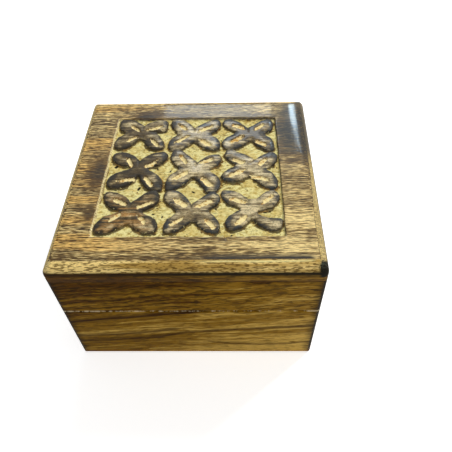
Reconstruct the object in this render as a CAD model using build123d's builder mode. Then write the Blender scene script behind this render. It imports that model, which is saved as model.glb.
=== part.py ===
# Carved wooden dice box with a hinged lid, four inches square.
# Millimetres.  +Z is up, the front faces -Y and X runs to the right.
# The origin is the middle of the underside.

from build123d import *
import os

# Box
box_width = 102.0  # across the front
box_depth = 101.0  # from front to back
base_height = 36.0  # underside to the base rim
lid_height = 27.5  # lid rim to the top
seam_gap = 0.5  # between the two rims when the lid is shut
wall = 8.0  # thickness of the side boards
top_thickness = 7.0  # thickness of the carved board
bottom_thickness = 5.0
rebate_width = 4.0  # step under the walls that the bottom board sits in
rebate_corner = 3.0  # left round by the cutter in the corners of that step
corner_radius = 2.2  # upright corners, in plan
top_roundover = 3.7  # round the carved board
foot_roundover = 2.0  # along the lower edges of the base
rim_ease = 0.8  # outer edges of the two rims

# Carving
field_width = 72.0  # sunk field, side to side
field_depth = 69.5  # sunk field, front to back
carving_depth = 1.5  # sunk ground below the top of the board
flowers_across = 3
flowers_deep = 3
petals_each = 4
petal_width = 8.6
petal_tip_width = 2.2  # petals end in a short cut across
petal_drop = 0.95  # fall of a petal from its ridge to its edge
petal_overlap = 3.0  # how far a petal runs on past the middle of its flower
tip_margin = 1.7  # between a petal's tip and the corner of its cell
side_cuts = 8  # straight chisel cuts along each side of a petal
back_cuts = 6  # flat cuts that round its back
gouge_middle = 8.1  # from the middle of the flower
gouge_length = 7.0
gouge_width = 1.7
gouge_depth = 0.8

# Hinges
hinge_length = 25.0
hinge_inset = 10.5  # side of the box to the near end of a hinge
knuckle_count = 3
knuckle_gap = 0.15  # running gap between neighbouring knuckles
leaf_thickness = 0.9
leaf_reach = 7.5  # pin axis to the free edge of a leaf
pin_radius = 0.75
pin_clearance = 0.05  # all round, in the knuckles that turn on the pin
pin_setback = 1.0  # pin axis behind the back of the box
pin_proud = 0.3  # how far the pin stands out of the end knuckles
notch_clearance = 0.15  # leaf to the other leaf's knuckles
mortise_fit = 0.1  # round a leaf in its mortise

# Hinge screws
screw_spacing = 15.0  # along a leaf
screw_inset = 2.8  # from the free edge of the leaf
screw_length = 8.0
screw_shank_radius = 0.9
slot_width = 0.5
slot_depth = 0.5

# Worked out from the sizes above
inner_width = box_width - 2 * wall
inner_depth = box_depth - 2 * wall
lid_rim = base_height + seam_gap
box_height = lid_rim + lid_height
board_level = box_height - top_thickness
carved_level = box_height - carving_depth
cell_width = field_width / flowers_across
cell_depth = field_depth / flowers_deep
barrel_radius = pin_radius + pin_clearance + leaf_thickness
knuckle_pitch = hinge_length / knuckle_count
leaf_face = leaf_thickness - barrel_radius  # upper face of a lower leaf, from the pin axis
screw_head_radius = screw_shank_radius + leaf_thickness  # a right-angled countersink
screw_row = screw_inset - leaf_reach
pin_y = box_depth / 2 + pin_setback
pin_z = base_height + seam_gap / 2
hinge_middle = box_width / 2 - hinge_inset - hinge_length / 2
hinge_places = {"left": -hinge_middle, "right": hinge_middle}

os.makedirs("parts", exist_ok=True)


def eased_block(level, height, lower_ease, upper_ease):
    """Full plan of the box, rounded at its upright corners and along both ends' edges."""
    with BuildPart() as block:
        with BuildSketch(Plane.XY.offset(level)):
            RectangleRounded(box_width, box_depth, corner_radius)
        extrude(amount=height)
        for plane, span in ((Plane.XZ, box_width), (Plane.YZ, box_depth)):
            with BuildSketch(plane) as profile:
                with Locations((0, level)):
                    Rectangle(span, height, align=(Align.CENTER, Align.MIN))
                if lower_ease:
                    fillet(profile.vertices().group_by(Axis.Y)[0], lower_ease)
                if upper_ease:
                    fillet(profile.vertices().group_by(Axis.Y)[-1], upper_ease)
            extrude(amount=box_width + box_depth, both=True, mode=Mode.INTERSECT)
    return block.part


# Hinge seat: the mortise and pilot holes for one lower leaf, about the pin axis
with BuildPart() as lower_seat:
    with BuildSketch(Plane.XY.offset(-barrel_radius)):
        Rectangle(
            hinge_length + 2 * mortise_fit,
            leaf_reach + mortise_fit,
            align=(Align.CENTER, Align.MAX),
        )
    extrude(amount=barrel_radius)
    with Locations((0, screw_row, leaf_face)):
        with GridLocations(screw_spacing, 0, 2, 1):
            Cylinder(screw_shank_radius, screw_length, align=(Align.CENTER, Align.CENTER, Align.MAX))
upper_seat = lower_seat.part.mirror(Plane.XY)

# Base: one frame, rebated for its bottom board, then parted into its four boards
with BuildPart() as base_frame:
    add(eased_block(0, base_height, foot_roundover, rim_ease))
    with BuildSketch():
        Rectangle(inner_width, inner_depth)
    extrude(amount=base_height, mode=Mode.SUBTRACT)
    with BuildSketch() as rebate:
        RectangleRounded(inner_width + 2 * rebate_width, inner_depth + 2 * rebate_width, rebate_corner)
    extrude(amount=bottom_thickness, mode=Mode.SUBTRACT)
    with Locations(*[(x, pin_y, pin_z) for x in hinge_places.values()]):
        add(lower_seat.part, mode=Mode.SUBTRACT)

# Lid: the same without a bottom, under the carved board
with BuildPart() as lid_frame:
    add(eased_block(lid_rim, board_level - lid_rim, rim_ease, 0))
    with BuildSketch(Plane.XY.offset(lid_rim)):
        Rectangle(inner_width, inner_depth)
    extrude(amount=board_level - lid_rim, mode=Mode.SUBTRACT)
    with Locations(*[(x, pin_y, pin_z) for x in hinge_places.values()]):
        add(upper_seat, mode=Mode.SUBTRACT)

# The front and back boards run the full width, and the side boards fit between them
wall_plans = {
    "front": (0, -(box_depth - wall) / 2, box_width, wall),
    "back": (0, (box_depth - wall) / 2, box_width, wall),
    "left": (-(box_width - wall) / 2, 0, wall, inner_depth),
    "right": ((box_width - wall) / 2, 0, wall, inner_depth),
}
for frame_name, frame in (("base", base_frame), ("lid", lid_frame)):
    for side, (middle_x, middle_y, size_x, size_y) in wall_plans.items():
        with BuildPart() as side_board:
            add(frame.part)
            with BuildSketch():
                with Locations((middle_x, middle_y)):
                    Rectangle(size_x, size_y)
            extrude(amount=box_height, mode=Mode.INTERSECT)
        side_board.part.label = f"{frame_name}_{side}_wall"
        export_step(side_board.part, f"parts/{frame_name}_{side}_wall.step")

# Bottom board, glued into the rebate
with BuildPart() as bottom_board:
    with BuildSketch():
        RectangleRounded(inner_width + 2 * rebate_width, inner_depth + 2 * rebate_width, rebate_corner)
    extrude(amount=bottom_thickness)
bottom_board.part.label = "bottom_board"
export_step(bottom_board.part, "parts/bottom_board.step")

# One petal along +X: cut in along two arcs, its back rounded crosswise, with one gouged chip
petal_tip = (cell_width**2 + cell_depth**2) ** 0.5 / 2 - tip_margin
petal_middle = (petal_tip - petal_overlap) / 2
with BuildPart() as petal:
    with BuildSketch():
        with BuildLine():
            side = ThreePointArc(
                (-petal_overlap, 0),
                (petal_middle, petal_width / 2),
                (petal_tip, petal_tip_width / 2),
                mode=Mode.PRIVATE,
            )
            upper = [side @ (i / side_cuts) for i in range(side_cuts + 1)]
            lower = [Vector(point.X, -point.Y) for point in reversed(upper)]
            Polyline(*upper, *lower)
        make_face()
    extrude(amount=carving_depth)
    with BuildSketch(Plane.YZ):
        with BuildLine():
            back = ThreePointArc(
                (-petal_width / 2, carving_depth - petal_drop),
                (0, carving_depth),
                (petal_width / 2, carving_depth - petal_drop),
                mode=Mode.PRIVATE,
            )
            ridge_lines = [back @ (i / back_cuts) for i in range(back_cuts + 1)]
            Polyline((-petal_width / 2, 0), *ridge_lines, (petal_width / 2, 0), close=True)
        make_face()
    extrude(amount=petal_tip + petal_overlap, both=True, mode=Mode.INTERSECT)
    with Locations((gouge_middle, 0, carving_depth)):
        ConvexPolyhedron(
            [
                (-gouge_length, 0, gouge_depth),
                (gouge_length, 0, gouge_depth),
                (0, -gouge_width, gouge_depth),
                (0, gouge_width, gouge_depth),
                (0, 0, -gouge_depth),
            ],
            mode=Mode.SUBTRACT,
        )

# One flower: petals towards the corners of its cell, run together in the middle
with BuildPart() as flower:
    with PolarLocations(0, petals_each, start_angle=180 / petals_each):
        add(petal.part)

# Carved board: glued on the lid frame, its flowers left standing in the sunk field
with BuildPart() as lid_top_board:
    add(eased_block(board_level, top_thickness, 0, top_roundover))
    with BuildSketch(Plane.XY.offset(box_height)):
        Rectangle(field_width, field_depth)
    extrude(amount=-carving_depth, mode=Mode.SUBTRACT)
    with Locations((0, 0, carved_level)):
        with GridLocations(cell_width, cell_depth, flowers_across, flowers_deep):
            add(flower.part)
lid_top_board.part.label = "lid_top_board"
export_step(lid_top_board.part, "parts/lid_top_board.step")


def hinge_leaf(own_knuckles, other_knuckles, bore_radius):
    """Leaf of a butt hinge under its pin axis, rolled into the knuckles at the given places."""
    with BuildPart() as leaf:
        with BuildSketch(Plane.XY.offset(-barrel_radius)):
            Rectangle(hinge_length, leaf_reach, align=(Align.CENTER, Align.MAX))
            with Locations(*[(x, 0) for x in other_knuckles]):
                Rectangle(
                    knuckle_pitch + knuckle_gap,
                    2 * (barrel_radius + notch_clearance),
                    mode=Mode.SUBTRACT,
                )
        extrude(amount=leaf_thickness)
        with Locations(*[(x, 0, 0) for x in own_knuckles]):
            Cylinder(barrel_radius, knuckle_pitch - knuckle_gap, rotation=(0, 90, 0))
        Cylinder(bore_radius, hinge_length, rotation=(0, 90, 0), mode=Mode.SUBTRACT)
        with Locations((0, screw_row, leaf_face)):
            with GridLocations(screw_spacing, 0, 2, 1):
                CounterSinkHole(screw_shank_radius, screw_head_radius, leaf_thickness, 90)
    return leaf.part


# The lower leaf has the end knuckles and holds the pin, and the upper leaf turns on it
knuckles = [(i - (knuckle_count - 1) / 2) * knuckle_pitch for i in range(knuckle_count)]
lower_leaf = hinge_leaf(knuckles[0::2], knuckles[1::2], pin_radius)
upper_leaf = hinge_leaf(knuckles[1::2], knuckles[0::2], pin_radius + pin_clearance)

# Hinge pin, along the axis
with BuildPart() as hinge_pin:
    Cylinder(pin_radius, hinge_length + 2 * pin_proud, rotation=(0, 90, 0))

# Countersunk, slotted screws of one lower leaf
with BuildPart() as lower_screws:
    with Locations((0, screw_row, leaf_face)):
        with GridLocations(screw_spacing, 0, 2, 1):
            Cone(
                screw_shank_radius,
                screw_head_radius,
                leaf_thickness,
                align=(Align.CENTER, Align.CENTER, Align.MAX),
            )
            Cylinder(screw_shank_radius, screw_length, align=(Align.CENTER, Align.CENTER, Align.MAX))
            Box(
                2 * screw_head_radius,
                slot_width,
                slot_depth,
                align=(Align.CENTER, Align.CENTER, Align.MAX),
                mode=Mode.SUBTRACT,
            )

# Both hinges, put in their places at the back
hinge_pieces = {
    "lower_leaf": lower_leaf,
    "lower_screws": lower_screws.part,
    "pin": hinge_pin.part,
    "upper_leaf": upper_leaf.mirror(Plane.XY),
    "upper_screws": lower_screws.part.mirror(Plane.XY),
}
for side, hinge_x in hinge_places.items():
    for piece_name, piece in hinge_pieces.items():
        with BuildPart() as hinge_piece:
            with Locations((hinge_x, pin_y, pin_z)):
                add(piece)
        hinge_piece.part.label = f"{side}_hinge_{piece_name}"
        export_step(hinge_piece.part, f"parts/{side}_hinge_{piece_name}.step")
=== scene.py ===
import math
from types import SimpleNamespace

import bpy
import numpy as np
from mathutils import Matrix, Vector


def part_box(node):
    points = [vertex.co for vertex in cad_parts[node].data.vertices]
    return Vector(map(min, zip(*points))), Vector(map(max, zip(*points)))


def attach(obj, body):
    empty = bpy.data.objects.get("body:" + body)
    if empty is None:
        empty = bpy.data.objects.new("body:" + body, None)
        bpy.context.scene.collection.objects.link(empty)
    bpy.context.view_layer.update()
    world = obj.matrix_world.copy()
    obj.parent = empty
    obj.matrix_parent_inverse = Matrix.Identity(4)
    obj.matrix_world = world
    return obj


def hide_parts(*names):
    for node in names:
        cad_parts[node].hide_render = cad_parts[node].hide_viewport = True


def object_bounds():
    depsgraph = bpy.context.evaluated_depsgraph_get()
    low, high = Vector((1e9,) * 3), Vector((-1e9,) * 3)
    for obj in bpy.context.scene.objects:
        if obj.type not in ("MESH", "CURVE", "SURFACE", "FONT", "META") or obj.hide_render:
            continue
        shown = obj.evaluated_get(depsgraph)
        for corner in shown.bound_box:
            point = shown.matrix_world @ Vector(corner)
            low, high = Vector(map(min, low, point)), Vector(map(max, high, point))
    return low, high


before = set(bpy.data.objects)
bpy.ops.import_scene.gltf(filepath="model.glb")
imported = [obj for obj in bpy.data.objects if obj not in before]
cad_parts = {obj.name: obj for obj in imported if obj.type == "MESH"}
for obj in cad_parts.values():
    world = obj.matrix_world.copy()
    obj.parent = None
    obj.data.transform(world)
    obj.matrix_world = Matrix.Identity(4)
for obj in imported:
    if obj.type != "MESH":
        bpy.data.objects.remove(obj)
cadLow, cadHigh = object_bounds()
scene = bpy.context.scene
mm = 0.001


def fromBytes(r, g, b):
    # a colour picked as it looks on a screen, 0 to 255, turned into the linear one that shaders use
    linear = (((v / 255 + 0.055) / 1.055) ** 2.4 if v > 10 else v / 255 / 12.92 for v in (r, g, b))
    return (*linear, 1.0)


def addObject(name, data):
    thing = bpy.data.objects.new(name, data)
    scene.collection.objects.link(thing)
    return thing


def palette(**tones):
    return {name: fromBytes(*tone) for name, tone in tones.items()}


# Shader building blocks: each adds a node to canvas["tree"], the tree in hand, and gives back its output

canvas = {}


def newMaterial(name):
    material = bpy.data.materials.new(name)
    material.use_nodes = True
    canvas["tree"] = material.node_tree
    return material, material.node_tree.nodes["Principled BSDF"]


def newNode(kind):
    return canvas["tree"].nodes.new(kind)


def plug(value, socket):
    if isinstance(value, bpy.types.NodeSocket):
        canvas["tree"].links.new(value, socket)
    else:
        socket.default_value = value


def feed(node, values):
    for name, value in values.items():
        plug(value, node.inputs[name])


def maths(operation, *values, clamp=False):
    node = newNode("ShaderNodeMath")
    node.operation, node.use_clamp = operation, clamp
    for value, socket in zip(values, node.inputs):
        plug(value, socket)
    return node.outputs[0]


def chain(operation, values):
    # one node for each value after the first
    total = values[0]
    for value in values[1:]:
        total = maths(operation, total, value)
    return total


def plus(*values):
    return chain("ADD", values)


def times(*values):
    return chain("MULTIPLY", values)


def larger(*values):
    return chain("MAXIMUM", values)


def smaller(*values):
    return chain("MINIMUM", values)


def minus(first, second):
    return maths("SUBTRACT", first, second)


def timesPlus(value, factor, addend):
    return maths("MULTIPLY_ADD", value, factor, addend)


def absolute(value):
    return maths("ABSOLUTE", value)


def ease(value, low, high, toLow=0.0, toHigh=1.0):
    # smooth step: toLow below low, toHigh above high, an S curve between
    node = newNode("ShaderNodeMapRange")
    node.interpolation_type = "SMOOTHSTEP"
    feed(node, {"Value": value, "From Min": low, "From Max": high, "To Min": toLow, "To Max": toHigh})
    return node.outputs["Result"]


def easeMm(value, low, high, toLow=0.0, toHigh=1.0):
    # the same between two lengths in millimetres
    return ease(value, low * mm, high * mm, toLow, toHigh)


def blend(share, first, second, mode="MIX"):
    # the first colour at a share of 0, the second at 1
    node = newNode("ShaderNodeMix")
    node.data_type, node.blend_type = "RGBA", mode
    plug(share, node.inputs[0])
    plug(first, node.inputs[6])
    plug(second, node.inputs[7])
    return node.outputs[2]


def noise(point, scales, detail=2.0, rough=0.5, place=(0, 0, 0)):
    # features of the pattern measure one over the scale, in metres, along each axis
    mapping = newNode("ShaderNodeMapping")
    feed(mapping, {"Vector": point, "Scale": scales, "Location": place})
    node = newNode("ShaderNodeTexNoise")
    feed(node, {"Vector": mapping.outputs[0], "Scale": 1.0, "Distortion": 0.0})
    feed(node, {"Detail": detail, "Roughness": rough})
    return node.outputs["Fac"]


def objectPoint():
    return newNode("ShaderNodeTexCoord").outputs["Object"]


def split(vector):
    node = newNode("ShaderNodeSeparateXYZ")
    plug(vector, node.inputs[0])
    return node.outputs


def attribute(name):
    node = newNode("ShaderNodeAttribute")
    node.attribute_name = name
    return node.outputs["Fac"]


def setShine(shader, table):
    feed(shader, {"Specular IOR Level": table["gloss"], "Specular Tint": table["sheen"]})


def addBump(shader, height, depth, socket="Normal"):
    # depth is the height in millimetres that a change of one in the pattern stands for
    node = newNode("ShaderNodeBump")
    feed(node, {"Distance": depth * mm, "Height": height})
    plug(node.outputs[0], shader.inputs[socket])


# Wood: one solid pattern in the box's own space, so grain runs on from board to board

grain = dict(
    band=(9, 170),  # broad colour bands, features per metre along and across the grain
    streak=(32, 760),
    fine=(85, 2100),
    dash=(240, 1700),  # short dark pores
    hair=(320, 3600),
    waver=0.0016,  # how far the streaks wander, in metres
    tilt=0.11,  # how much the growth lines climb to the right
    boardWaver=0.0005,
    boardTilt=0.012,
)


def grainPatterns(point, along, waver, tilt):
    # Streaks are noise squeezed across the grain: the point is first shifted sideways by a slow
    # noise (so that lines waver), sheared by the tilt, then scaled far more across than along.
    # They are handed on as g, by name, with the place as g.x, g.y and g.z.
    x, y, z = split(point)
    run = x if along == "x" else y
    side = y if along == "x" else x
    drift = noise(point, (24, 24, 24), 3.0, 0.5)
    sway = times(minus(drift, 0.5), 4 * waver)
    level = plus(minus(z, times(run, tilt)), sway)
    join = newNode("ShaderNodeCombineXYZ")
    for value, socket in zip((run, plus(side, sway), level), join.inputs):
        plug(value, socket)
    patterns = dict(x=x, y=y, z=z)
    details = dict(band=(2.0, 0.5), streak=(3.0, 0.6), fine=(2.0, 0.6), dash=(1.0, 0.5), hair=(1.0, 0.5))
    for number, (name, (detail, rough)) in enumerate(details.items()):
        lengthways, across = grain[name]
        place = (3 * number, 5 * number, number)
        patterns[name] = noise(join.outputs[0], (lengthways, across, across), detail, rough, place)
    return SimpleNamespace(**patterns)


def threeTones(tone, dark, middle, light, steps):
    # dark below the first step, middle at the second, light above the third
    colour = blend(ease(tone, steps[0], steps[1]), dark, middle)
    return blend(ease(tone, steps[1], steps[2]), colour, light)


def dim(colour, value):
    # multiplies a colour by one number
    node = newNode("ShaderNodeCombineColor")
    for socket in node.inputs:
        plug(value, socket)
    return blend(1.0, colour, node.outputs[0], "MULTIPLY")


def darken(colour, value, low, high, least):
    # multiplies the colour by 1 below low and by least above high
    return dim(colour, ease(value, low, high, 1.0, least))


walls = palette(
    dark=(76, 46, 2),
    middle=(136, 100, 24),
    light=(206, 168, 82),
    bareDark=(170, 134, 82),
    bareLight=(214, 182, 124),
    endDark=(58, 36, 10),
    endLight=(112, 80, 32),
    char=(26, 18, 10),
    cornerDark=(14, 10, 6),
    line=(50, 26, 4),
    wear=(235, 220, 185),
    footGlow=(176, 112, 30),
)
walls.update(
    steps=(0.42, 0.54, 0.69),  # where in the pattern the wood is dark, middle and light
    charReach=5.0,  # how far in the upright corners are darkened, by scorch and painted shade, in mm
    cornerReach=2.1,  # and how far in they are nearly black
    footReach=4.5,  # height of the glow along the bottom edge
    wearReach=0.62,  # of the pale wear and painted glint beside the seam
    bareFrom=1.1,  # the wood is bare this far inside the outer faces
    relief=0.08,  # of the pores, in mm
    roughness=0.48,
    gloss=0.04,  # specular level of the rubbed finish
    sheen=(1.0, 0.70, 0.30, 1.0),
)


growthLines = [  # height at x = 0, slope, bend per metre, thickness, left end, right end, strength; in mm
    (35.3, 0.145, 0.0, 1.3, -60, 8, 1.0),
    (23.8, 0.284, 2.7, 1.2, -60, -2, 0.75),
    (19.7, 0.312, 3.1, 1.1, -60, 0, 0.85),
    (19.4, 0.100, 0.0, 1.2, -8, 60, 0.8),
    (12.4, -0.292, 5.2, 1.0, 2, 60, 0.6),
]


def growthLine(g, height, slope, bend, thickness, left, right, strength):
    # distance of z from height + slope x + bend x squared, soft above the line and faded at both ends
    curve = timesPlus(times(g.x, g.x), bend, height * mm)
    curve = timesPlus(g.x, slope, curve)
    waver = times(minus(g.streak, 0.5), 2.4 * mm)
    gap = minus(plus(g.z, waver), curve)
    above = easeMm(gap, 0, 2.4 * thickness, 1.0, 0.0)
    below = easeMm(gap, -0.8 * thickness, 0)
    ends = times(easeMm(g.x, left, left + 8), easeMm(g.x, right - 8, right, 1.0, 0.0))
    return times(above, below, times(ends, strength))


def wallColour(g, along):
    # rubbed brown wood, darker and redder on the left, with dark pores and growth lines
    tone = timesPlus(g.band, 0.40, times(g.streak, 0.35))
    tone = plus(tone, times(g.fine, 0.30))
    if along == "x":
        # at the front lighter to the right and downwards, less so at the back
        slope = timesPlus(g.z, -26.0, 2.4)
        change = timesPlus(g.x, slope, timesPlus(g.z, -4.4, 0.17))
        tone = timesPlus(change, easeMm(g.y, -30, 30, 1.0, 0.35), tone)
    else:
        tone = timesPlus(g.z, -2.4, plus(tone, 0.06))
    colour = threeTones(tone, walls["dark"], walls["middle"], walls["light"], walls["steps"])
    lidShare = easeMm(g.z, 30, 40, 0.62, 0.42)
    pores = ease(g.dash, 0.53, 0.58, 1.0, 0.0)
    colour = dim(colour, timesPlus(pores, minus(1.0, lidShare), lidShare))
    if along == "x":
        for line in growthLines:
            colour = blend(growthLine(g, *line), colour, walls["line"])
        # the ends of these boards show end grain: dark, with fine specks
        dots = noise(objectPoint(), (1800, 1800, 1800), 2.0, 0.7)
        endWood = blend(ease(dots, 0.40, 0.60), walls["endDark"], walls["endLight"])
        atEnd = ease(absolute(g.x), cadHigh.x - 0.45 * mm, cadHigh.x - 0.15 * mm, 0.0, 0.9)
        colour = blend(atEnd, colour, endWood)
    return colour


def bareColour(g):
    # unfinished wood of the faces inside the box and at the seam
    bare = blend(ease(g.streak, 0.35, 0.65), walls["bareDark"], walls["bareLight"])
    return darken(bare, g.dash, 0.56, 0.66, 0.7)


def wallMaterial(name, along):
    material, shader = newMaterial(name)
    g = grainPatterns(objectPoint(), along, grain["waver"], grain["tilt"])
    colour = wallColour(g, along)
    # upright corners are darkened, near black at the edge: scorched, with painted shade on the turning
    # corners
    awayX = minus(cadHigh.x, absolute(g.x))
    frontY = minus(g.y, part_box("base_front_wall")[0].y)
    backY = minus(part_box("base_back_wall")[1].y, g.y)
    awayY = smaller(frontY, backY)
    corner = larger(awayX, awayY)
    ragged = timesPlus(minus(g.streak, 0.5), 6 * mm, corner)
    colour = blend(easeMm(ragged, 0.2, walls["charReach"], 0.8, 0.0), colour, walls["char"])
    colour = blend(easeMm(corner, 0.8, walls["cornerReach"], 0.95, 0.0), colour, walls["cornerDark"])
    # the bottom edge glows orange; the arrises at the seam are pale here and there, worn bare and with a
    # painted glint
    colour = blend(easeMm(g.z, 0.5, walls["footReach"], 0.35, 0.0), colour, walls["footGlow"])
    seamLow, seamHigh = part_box("base_front_wall")[1].z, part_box("lid_front_wall")[0].z
    toSeam = absolute(minus(g.z, (seamLow + seamHigh) / 2))
    rubbed = plus(noise(objectPoint(), (500, 500, 60), 3.0, 0.7), times(g.x, -1.6))
    # most of all at the right end of the front, a painted line of light showing through the gap
    rubbed = plus(rubbed, times(easeMm(g.x, 44, 48, 0.0, 0.3), easeMm(frontY, 0.3, 1.5, 1.0, 0.0)))
    rubbed = times(ease(rubbed, 0.44, 0.66), easeMm(toSeam, 0.3, walls["wearReach"], 0.85, 0.0))
    colour = blend(rubbed, colour, walls["wear"])
    # faces inside the box, and the middle of the faces that meet at the seam, are bare wood
    inside = easeMm(smaller(awayX, awayY), 0.8, walls["bareFrom"])
    colour = blend(inside, colour, bareColour(g))
    rough = ease(g.fine, 0.35, 0.65, walls["roughness"] - 0.06, walls["roughness"] + 0.1)
    feed(shader, {"Base Color": colour, "Roughness": larger(rough, times(inside, 0.7))})
    setShine(shader, walls)
    addBump(shader, minus(times(g.hair, 0.4), g.dash), walls["relief"])
    return material


# Carved board: all sizes in millimetres, from the middle of the box

carving = dict(
    fieldLeft=-36.0, fieldRight=36.5, fieldFront=-34.9, fieldBack=35.9,
    depth=1.5,
    spacing=0.31,  # between the lines of the grid inside the field
    borderSpacing=0.8,
    roundover=3.7,
    roundSteps=7,
    planCorner=2.2,
    petalRound=0.55,  # width of the rounded shoulder of a petal
    crown=0.15,  # how much a petal domes towards its middle line
    crownReach=4.2,
    creaseDepth=0.4,
    creaseReach=4.6,
    creaseWidth=0.4,
    petalSink=0.12,  # petals lie this far below the border
    borderRound=0.45,
    groundRise=0.24,  # the ground lies this far above the full depth
    chipDepth=0.5,
    gougeDepth=0.7,
    gougeWall=0.5,
    gougeExtra=0.18,  # the pale bottoms listed below are this much narrower, each side, than the cut
)

# Outline of each flower as four petals, back left, front left, front right, back right. Each row runs
# round one petal from notch to notch; a petal's last point is the next one's first.
outlines = [
    [[(-23.8, 31.4), (-27, 34.4), (-30, 35.8), (-34.4, 35.8), (-35.6, 33), (-34.6, 28.8), (-31.8, 26.2)],
     [(-34.6, 23.6), (-35.9, 20), (-35.4, 16.4), (-33.4, 15.2), (-30.2, 15.5), (-27.6, 18), (-25, 21.9)],
     [(-22.6, 20.2), (-20.9, 16.8), (-17.6, 14.6), (-14.4, 14.7), (-13.2, 17.2), (-14.6, 21.6),
      (-17.4, 25.6)],
     [(-17.8, 26.9), (-13.8, 27.9), (-12.7, 31), (-13.2, 34.4), (-15.4, 35.6), (-19.4, 34.7),
      (-22.4, 32.8)]],
    [[(-0.4, 29.6), (-3, 33.2), (-6.2, 35.6), (-9.8, 36), (-11.6, 34), (-11.1, 30.2), (-8, 25.5)],
     [(-10.2, 22.8), (-11.6, 19), (-11.2, 15), (-8.6, 13.7), (-5.2, 14.7), (-2.6, 17.4), (-0.6, 19.4)],
     [(1.4, 18), (4.2, 15.2), (7.6, 13.9), (11, 15), (11.4, 18.2), (10, 21.8), (7.4, 25)],
     [(9.6, 27.4), (11.4, 31.2), (11.3, 34.2), (9.2, 35.6), (5.6, 34.4), (2.2, 31.9)]],
    [[(23.8, 29.2), (21.2, 32.2), (18.4, 34.6), (15.6, 35.6), (13.2, 35), (12.1, 32.6), (13.4, 29.8),
      (18.2, 26)],
     [(14.4, 23), (12.1, 19.6), (12.5, 16.4), (15.2, 14), (18.6, 14.9), (21.8, 17.4), (24.8, 19.8)],
     [(26.8, 17.9), (29.2, 15), (32.2, 13), (34.7, 13.6), (35.4, 17), (34.2, 21.2), (31.2, 24.6)],
     [(34, 26.6), (35.4, 30.6), (35.2, 34), (33.4, 35.3), (30.2, 34.4), (26.6, 31.4)]],
    [[(-22.8, 7.5), (-25.4, 10.6), (-29, 12.7), (-32.8, 13), (-35, 11.2), (-34.6, 7.8), (-31.4, 5),
      (-26.3, 3)],
     [(-31.8, 0.2), (-34.8, -3.2), (-34.8, -7.2), (-32.4, -9), (-28.2, -8.9), (-24.8, -6.2), (-22.5, -2.2)],
     [(-21.2, -5.2), (-18, -9.4), (-15.8, -10.9), (-12.2, -10.9), (-12, -5.6), (-14, -1.6), (-18.6, 2.3)],
     [(-15.4, 4), (-12, 7.2), (-11.2, 10.8), (-12.8, 13.1), (-16.8, 12.5), (-20.4, 10.4)]],
    [[(2, 6.2), (-0.4, 9), (-3, 11.6), (-5, 13.9), (-8.4, 14), (-9.8, 10.6), (-8.8, 6.4), (-5.8, 2.2)],
     [(-8.6, -0.8), (-10.4, -4.4), (-10.6, -9.4), (-9, -11.1), (-6.2, -9.6), (-2.8, -7.2), (0.2, -3.1)],
     [(2.4, -5.4), (5, -9.4), (6.6, -12.1), (10, -11.9), (12, -7), (10.8, -2.6), (7.2, 1.4)],
     [(10.4, 4), (12.1, 7.6), (11.4, 10.7), (8, 11.1), (4.6, 8.9)]],
    [[(26.4, 7.6), (23, 10.3), (19.6, 12.3), (16.6, 14.2), (14, 13.6), (13.4, 10.4), (15.2, 6.8), (18, 4.2)],
     [(14.4, 1.4), (12.2, -1.8), (13, -4.6), (16.6, -5.8), (20.4, -5), (24, -2.9)],
     [(26, -5), (29, -8.3), (32.4, -10.4), (34.9, -9.2), (35.4, -5.4), (33.8, -1.2), (31.2, 1.7)],
     [(34.4, 4), (35.9, 7.6), (35.8, 11), (33.6, 12.4), (30.2, 11)]],
    [[(-23.2, -16.9), (-26.2, -13.6), (-30, -11.4), (-33.6, -11.2), (-34.9, -13.4), (-33.6, -17.2),
      (-30.4, -20.4), (-27.2, -21.9)],
     [(-32.8, -24.2), (-35.8, -29), (-35.2, -32.2), (-31.8, -33), (-28, -31.7), (-23.4, -28.2)],
     [(-20.4, -30.8), (-16.8, -32.9), (-13, -32.8), (-11.5, -29.8), (-13.2, -25.4), (-18.2, -22.2)],
     [(-14.4, -19.6), (-12.4, -16.4), (-12.6, -12.4), (-14.4, -10.6), (-17.4, -11.3), (-20.8, -14.6)]],
    [[(0.6, -18.4), (-1.8, -13.9), (-5, -11), (-8.6, -10.6), (-10.5, -12.4), (-10, -16.2), (-5.1, -22.3)],
     [(-8, -25.5), (-9.4, -29.4), (-8.8, -32.6), (-5.4, -32.8), (-1.8, -30.2), (1.5, -27.3)],
     [(3.8, -29.8), (7.4, -32.8), (11, -33), (12.1, -29.8), (10.6, -25.6), (7.6, -21.9)],
     [(10.8, -19), (12.1, -15.4), (10.6, -12.2), (7.8, -12.2), (4.2, -14.8)]],
    [[(23.2, -15.7), (19.6, -12.4), (16, -10.8), (12.9, -11), (12.2, -13.8), (14.6, -17.8), (19.6, -20.8)],
     [(15.2, -24.4), (13.9, -28.2), (15.4, -31.2), (18.6, -31.3), (21.8, -29.2), (24, -26.6)],
     [(26.4, -29.2), (30.2, -31.6), (34.2, -31.5), (35.9, -28.8), (35.4, -26.1), (31, -25.6), (26.6, -22.9)],
     [(32.2, -20.6), (35, -16.8), (35.4, -13.2), (33.2, -10.7), (29.8, -12), (26, -15.4)]],
]
hubs = [(-24.2, 26.2), (-0.4, 25.0), (24.4, 25.2), (-23.2, 3.0), (0.9, 1.8), (23.2, 3.0),
        (-23.4, -21.2), (1.0, -21.8), (23.4, -21.2)]

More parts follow.
